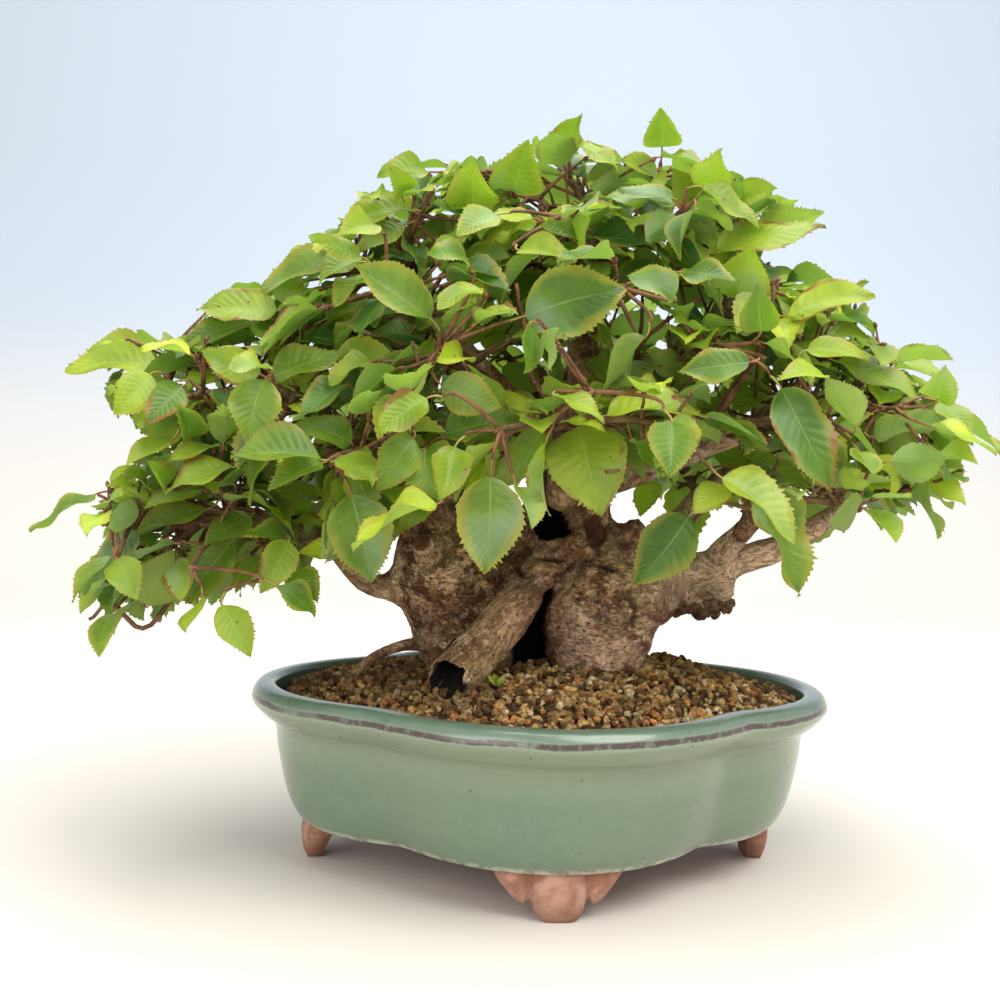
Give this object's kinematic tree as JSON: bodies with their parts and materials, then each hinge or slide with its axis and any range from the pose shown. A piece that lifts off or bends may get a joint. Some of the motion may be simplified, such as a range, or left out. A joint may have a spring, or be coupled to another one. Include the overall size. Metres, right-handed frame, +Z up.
{
  "type": "korean hornbeam bonsai",
  "caption": "Small broad-crowned hornbeam tree grown in a shallow four-lobed glazed pot on cloud feet.",
  "frame": {"origin": "on the surface that the pot's feet stand on, under the middle of the whole part's box", "axes": "+X along the long side of the pot and the crown, -Y towards the viewer, +Z up"},
  "size_m": [0.4053, 0.2465, 0.3053],
  "materials": {
    "glaze": "semi-gloss celadon green glaze over stoneware",
    "screen": "moulded plastic mesh",
    "soil": "loose coarse grains",
    "bark": "rough bark",
    "leaf": "satin green leaf"
  },
  "bodies": {
    "root": {"pot": "glaze", "drain_screen_left": "screen", "drain_screen_right": "screen", "soil": "soil", "wood": "bark", "spray_back_left_inner": "leaf", "spray_back_left_tip": "leaf", "spray_back_right_inner": "leaf", "spray_back_right_tip": "leaf", "spray_back_tip": "leaf", "spray_back_upper_left": "leaf", "spray_back_upper_right": "leaf", "spray_front_left_low": "leaf", "spray_front_left_side": "leaf", "spray_front_left_tip": "leaf", "spray_front_right_side": "leaf", "spray_front_right_tip": "leaf", "spray_front_right_under": "leaf", "spray_front_tip": "leaf", "spray_left_high_back": "leaf", "spray_left_high_front": "leaf", "spray_left_high_tip": "leaf", "spray_left_high_under": "leaf", "spray_left_high_upper": "leaf", "spray_left_low_back": "leaf", "spray_left_low_front": "leaf", "spray_left_low_inner": "leaf", "spray_left_low_rear": "leaf", "spray_left_low_tip": "leaf", "spray_left_low_under": "leaf", "spray_left_low_upper": "leaf", "spray_left_mid_front": "leaf", "spray_right_low_back": "leaf", "spray_right_low_tip": "leaf", "spray_right_mid_back": "leaf", "spray_right_mid_front": "leaf", "spray_right_mid_low": "leaf", "spray_right_mid_tip": "leaf", "spray_right_mid_upper": "leaf", "spray_top_back": "leaf", "spray_top_back_left": "leaf", "spray_top_front": "leaf", "spray_top_left": "leaf", "spray_top_low": "leaf", "spray_top_right": "leaf", "spray_top_right_front": "leaf", "spray_top_tip": "leaf", "spray_upper_left_back": "leaf", "spray_upper_left_front": "leaf", "spray_upper_left_low": "leaf", "spray_upper_left_tip": "leaf", "spray_upper_left_top": "leaf", "spray_upper_right_back": "leaf", "spray_upper_right_front": "leaf", "spray_upper_right_low": "leaf", "spray_upper_right_out": "leaf", "spray_upper_right_side": "leaf", "spray_upper_right_tip": "leaf"}
  },
  "joints": []
}
